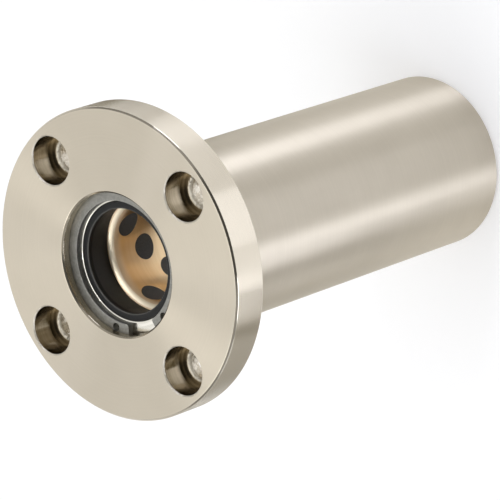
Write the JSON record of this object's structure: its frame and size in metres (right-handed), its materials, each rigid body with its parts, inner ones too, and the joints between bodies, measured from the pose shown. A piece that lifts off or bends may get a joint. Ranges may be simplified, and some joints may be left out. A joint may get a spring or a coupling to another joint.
{
  "type": "oil-free bushing",
  "caption": "Flanged guide bushing for a round shaft: a plated steel housing holds bronze bushes with graphite plugs, sealed and retained at both ends.",
  "frame": {"origin": "centre of the flange's seating face, on the bore axis", "axes": "+Z along the bore axis, out of the flange's front face; the barrel hangs along -Z and its end face is the foot that the part stands on; +X and +Y lie midway between the screw holes"},
  "size_m": [0.048, 0.048, 0.075],
  "materials": {
    "nickel_plated_steel": "satin nickel plate",
    "bronze": "machined bronze",
    "graphite": "matt graphite",
    "seal_case_steel": "bright pressed steel",
    "nitrile_rubber": "moulded black rubber",
    "spring_steel": "phosphated spring steel"
  },
  "bodies": {
    "root": {"front_bush": "bronze", "front_plug_1_1": "graphite", "front_plug_1_2": "graphite", "front_plug_1_3": "graphite", "front_plug_1_4": "graphite", "front_plug_2_1": "graphite", "front_plug_2_2": "graphite", "front_plug_2_3": "graphite", "front_plug_2_4": "graphite", "front_plug_3_1": "graphite", "front_plug_3_2": "graphite", "front_plug_3_3": "graphite", "front_plug_3_4": "graphite", "front_plug_4_1": "graphite", "front_plug_4_2": "graphite", "front_plug_4_3": "graphite", "front_plug_4_4": "graphite", "front_plug_5_1": "graphite", "front_plug_5_2": "graphite", "front_plug_5_3": "graphite", "front_plug_5_4": "graphite", "front_plug_6_1": "graphite", "front_plug_6_2": "graphite", "front_plug_6_3": "graphite", "front_plug_6_4": "graphite", "front_retaining_ring": "spring_steel", "front_seal_case": "seal_case_steel", "front_seal_lip": "nitrile_rubber", "housing": "nickel_plated_steel", "rear_bush": "bronze", "rear_plug_1_1": "graphite", "rear_plug_1_2": "graphite", "rear_plug_1_3": "graphite", "rear_plug_1_4": "graphite", "rear_plug_2_1": "graphite", "rear_plug_2_2": "graphite", "rear_plug_2_3": "graphite", "rear_plug_2_4": "graphite", "rear_plug_3_1": "graphite", "rear_plug_3_2": "graphite", "rear_plug_3_3": "graphite", "rear_plug_3_4": "graphite", "rear_plug_4_1": "graphite", "rear_plug_4_2": "graphite", "rear_plug_4_3": "graphite", "rear_plug_4_4": "graphite", "rear_plug_5_1": "graphite", "rear_plug_5_2": "graphite", "rear_plug_5_3": "graphite", "rear_plug_5_4": "graphite", "rear_plug_6_1": "graphite", "rear_plug_6_2": "graphite", "rear_plug_6_3": "graphite", "rear_plug_6_4": "graphite", "rear_retaining_ring": "spring_steel", "rear_seal_case": "seal_case_steel", "rear_seal_lip": "nitrile_rubber"}
  },
  "joints": []
}
